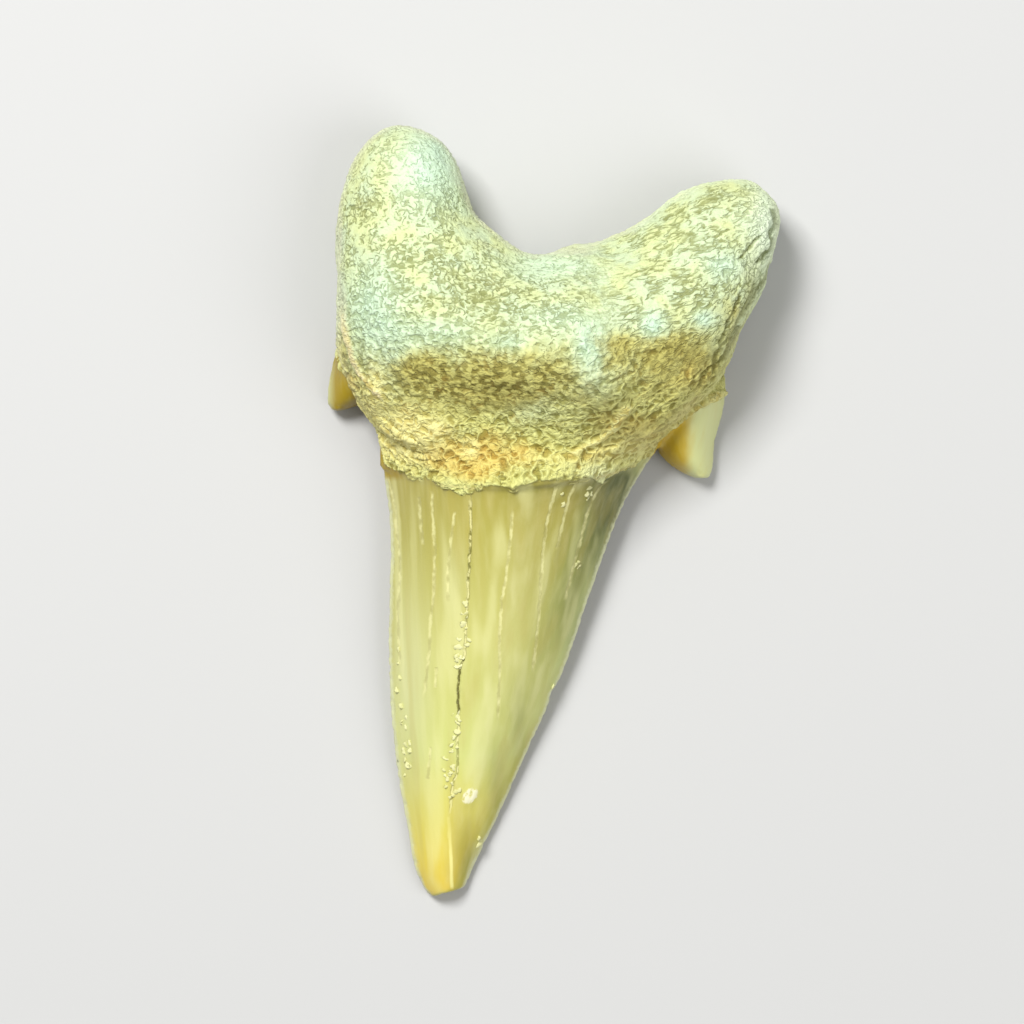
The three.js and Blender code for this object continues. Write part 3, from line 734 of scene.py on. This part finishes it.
def fossil_finish():
    material = bpy.data.materials.new("fossil_tooth")
    material.use_nodes = True
    tree = material.node_tree
    graph = Graph(tree)

    def measure(name, output="Fac"):
        return graph.node("ShaderNodeAttribute", {"attribute_name": name}, {}, output)

    bare = measure("bare", "Vector")
    x, y, _ = graph.axes(bare)
    ochre, orange, pale = measure("ochre"), measure("orange"), measure("pale")
    edge = enamel_edge(graph, bare, measure("enamel"))
    on_root = 1 - graph.step(edge, -0.03, 0.03)
    coarse = crust_share(graph, bare)
    pits, ridges = root_marks(graph, bare)
    blotch = graph.noise(bare, 1.6, 20, detail=3)
    speckle = graph.noise(bare, 0.28, 21, detail=2)

    # Root: raised crust over the ground in its pits and gaps, each with its own stains; the ground's
    # darkness is partly dirt and partly painted shade in the pits and gaps
    cloud = graph.noise(bare, 2.6, 28, detail=4, distortion=0.6) - 0.5
    ragged = 0.5 * cloud + 0.7 * (blotch - 0.5) + 0.5 * (speckle - 0.5)
    ochre_share = graph.step(ochre * (1 + 1.6 * cloud) + ragged, 0.08, 1.25)
    orange_share = graph.step(orange * (1 + 2.0 * cloud) + 0.9 * (blotch - 0.5), 0.1, 1.3)
    pale_share = (pale * (0.3 + 1.2 * blotch)).at_most(1)
    # Cream: the crust's own colour, and at the band's left end also painted light
    cream_share = (measure("cream") * (0.5 + blotch)).at_most(1)
    seams = crust_seams(graph, bare, measure("lingual"))
    grooves = root_grooves(graph, bare)
    crest = mix(graph, graph.step(blotch, 0.35, 0.65), paint("d4e4b8"), paint("d9e2a4"))
    crest = mix(graph, coarse * 0.8, crest, paint("dedb80"))
    # Beyond x 10.5 the pale tone is lighter still, painted light on the right lobe's end, which slopes away
    # from the key light
    pale_and_lit_tone = mix(graph, graph.step(x, 10.5, 12.5), paint("d8f4d8"), paint("f0ffe2"))
    crest = mix(graph, pale_share, crest, pale_and_lit_tone)
    crest = mix(graph, ochre_share, crest, paint("cfc872"))
    crest = mix(graph, orange_share, crest, paint("e2c866"))
    crest = mix(graph, cream_share, crest, paint("faf2a4"))
    crest = mix(graph, seams, crest, mix(graph, graph.step(x, -2, 2), paint("eee2b0"), paint("e9e59a")))
    ground = mix(graph, coarse, paint("888e50"), paint("96903c"))
    ground = mix(graph, pale_share, ground, paint("93ac7e"))
    ground = mix(graph, ochre_share, ground, paint("7c7026"))
    ground = mix(graph, orange_share, ground, paint("ae8428"))
    ground = mix(graph, cream_share.at_least(seams), ground, paint("d6c66c"))
    rust = graph.step(graph.noise(bare, 1.1, 29, detail=2), 0.52, 0.7) * coarse
    ground = mix(graph, rust * 0.4, ground, paint("a27e2e"))
    # Painted highlight: a pale rim along the root's steep outer sides, fainter on the right flank, which
    # also smooths the pits under it
    shaded = graph.step(x, 8, 10) * (1 - graph.step(y, 14, 17))
    rim = measure("rim") * (1 - measure("even")) * (1 - 0.7 * shaded)
    kept_share = (1 - 0.35 * pale_share) * (1 - 0.55 * measure("worn")) * (1 - 0.6 * rim)
    # Pits darken the colour towards the ground, partly as dirt and partly as painted shade
    lobe_level = 1 - 0.85 * pits * kept_share
    level = lobe_level + coarse * (0.1 + 0.9 * ridges - lobe_level) - 0.5 * grooves
    root = mix(graph, level + 0.3 * (speckle - 0.5), ground, crest)
    root = mix(graph, grooves * 0.4, root, paint("76783e"))
    # Colour of the painted rim highlight: lighter and greener on the right, yellower towards the crown
    rim_highlight_tone = mix(graph, graph.step(x, 2, 8), paint("e2e4c8"), paint("f0fcd6"))
    rim_highlight_tone = mix(graph, graph.step(y, 8, 12), paint("e2d690"), rim_highlight_tone)
    root = mix(graph, rim * 0.6, root, rim_highlight_tone)

    # Enamel
    panel = graph.noise(bare, 1.3, 22, detail=1, stretch=(1, 25, 1))
    streak = graph.noise(bare, 0.45, 23, detail=2, stretch=(1, 18, 1))
    down = graph.node("ShaderNodeMapRange", {}, {0: y, 1: 3.0, 2: -24.0})
    tones = [(0, paint("a89c4a")), (0.15, paint("b1aa54")), (0.4, paint("c8c674")), (0.67, paint("d2d682"))]
    tones += [(0.84, paint("dcd060")), (1, paint("e4c848"))]
    body = graph.node("ShaderNodeValToRGB", {"stops": tones}, {0: down})
    body = mix(graph, pale * 0.6, body, paint("dfe2b2"))
    from_left, from_right = measure("from_left"), measure("from_right")
    inward = from_right + 0.4 * panel
    flank = graph.step(inward, 0.6, 1.3) * (1 - graph.step(inward, 2.0, 3.4)) * graph.step(y, -14, -5)
    body = mix(graph, flank * 0.6, body, paint("98a252"))
    outer = 1 - graph.step(inward, 0.6, 1.3)
    # Painted light: the enamel's right edge, which slopes away from the key light, brightened from about y
    # -15 upward
    body = mix(graph, outer * graph.step(y, -15, -9) * 0.8, body, paint("c4d084"))
    body = mix(graph, outer * (1 - graph.step(y, -16, -12)) * 0.7, body, paint("b0ae40"))
    # Olive stain together with painted shade under the band and at the crown's upper right
    body = mix(graph, measure("olive"), body, paint("565e1c"))
    body = mix(graph, graph.step(panel, 0.5, 0.68) * 0.35, body, paint("ecebaa"))
    body = mix(graph, (1 - graph.step(panel, 0.32, 0.5)) * 0.3, body, paint("bcae5c"))
    body = mix(graph, (streak - 0.42) * 0.35, body, paint("f2eeb8"))
    # Painted highlight: a pale band along both edges of the enamel
    edge_highlight = 1 - graph.step(from_left.at_most(from_right) + 0.2 * (speckle - 0.5), 0.1, 0.34)
    body = mix(graph, edge_highlight * 0.8, body, paint("dcdfb4"))
    main, fine = crack_lines(graph, bare, measure("lingual"))
    filled = graph.step(graph.noise(bare, 0.8, 24, detail=3), 0.36, 0.62)
    body = mix(graph, fine * (0.2 + 0.5 * filled), body, paint("ece8a6"))
    body = mix(graph, fine * (1 - filled) * 0.35, body, paint("948c48"))
    opened = crack_opening(graph, y)
    packed = graph.step(graph.noise(bare, 0.4, 27) - 0.2 * (opened - 0.5), 0.42, 0.56)
    body = mix(graph, main * packed * 0.7, body, paint("ece6a4"))
    # Painted shade inside the main crack, darker where it gapes wider; packed crumbs of matrix stay pale
    hollow = graph.step(main, 0.4, 1.0) * (1 - packed * (1.6 - opened).at_most(1))
    body = mix(graph, hollow * (0.3 + 0.7 * opened), body, paint("706c32"))
    body = mix(graph, ring_scar(graph, bare), body, paint("f6f2cc"))
    # Painted highlight along the small step near the tip, fading upward
    tip_highlight = wavy_lines(graph, bare, TIP_HIGHLIGHT_LINE, TIP_LINE_SWAY, 33) * (1 - 0.7 * graph.step(y, -22.0, -19.2))
    body = mix(graph, tip_highlight, body, paint("f4ec92"))
    cusplet = graph.step(y, 1.9, 2.4) * graph.step(abs(x + 1.6), 7.4, 8.0)
    outward = graph.step(x, 7.9, 9.0).at_least(0.7 * graph.step(0 - x, 13.5, 14.1))
    amber = mix(graph, graph.step(x, -1, 1), paint("a48c1c"), paint("d0b030"))
    amber = mix(graph, outward + 0.5 * (streak - 0.5), amber, paint("dade9c"))
    body = mix(graph, cusplet, body, amber)

    colour = mix(graph, on_root, body, root)
    crumb = measure("crumb")
    crumb_tone = mix(graph, graph.step(speckle, 0.3, 0.7), paint("d8d79a"), paint("e8e7b6"))
    colour = mix(graph, crumb * 0.7, colour, crumb_tone)
    roughness = GLOSS + on_root.at_least(crumb) * (DULL - GLOSS) + 0.1 * (speckle - 0.5)
    grain = graph.noise(bare, 0.12, 25, detail=3)
    fine_pits = graph.curls(bare, 0.3, 26, 0.07)
    root_height = 0.03 * grain - 0.015 * fine_pits - 0.06 * pits + 0.05 * ridges * coarse - 0.05 * grooves
    enamel_height = 0.006 * grain + 0.02 * streak - 0.05 * main - 0.02 * fine
    height = enamel_height + on_root * (root_height - enamel_height)
    bump = graph.node("ShaderNodeBump", {}, {"Strength": 1.0, "Distance": PER_MM, "Height": height})
    surface = tree.nodes["Principled BSDF"]
    for name, wire in (("Base Color", colour), ("Roughness", roughness), ("Normal", bump)):
        tree.links.new(wire.socket, surface.inputs[name])
    surface.inputs["Specular IOR Level"].default_value = 0.4
    return material


crumbs = fossil.modifiers.new("crumbs", "NODES")
crumbs.node_group = crumb_tree()
stone_input = crumbs.node_group.interface.items_tree["Stone"].identifier
crumbs[stone_input] = fossil_finish()
fossil.data = finished_mesh(fossil)
fossil.data.transform(((PER_MM, 0, 0, 0), (0, PER_MM, 0, 0), (0, 0, PER_MM, 0), (0, 0, 0, 1)))
fossil.data.shade_smooth()
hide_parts("tooth")
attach(fossil, "root")
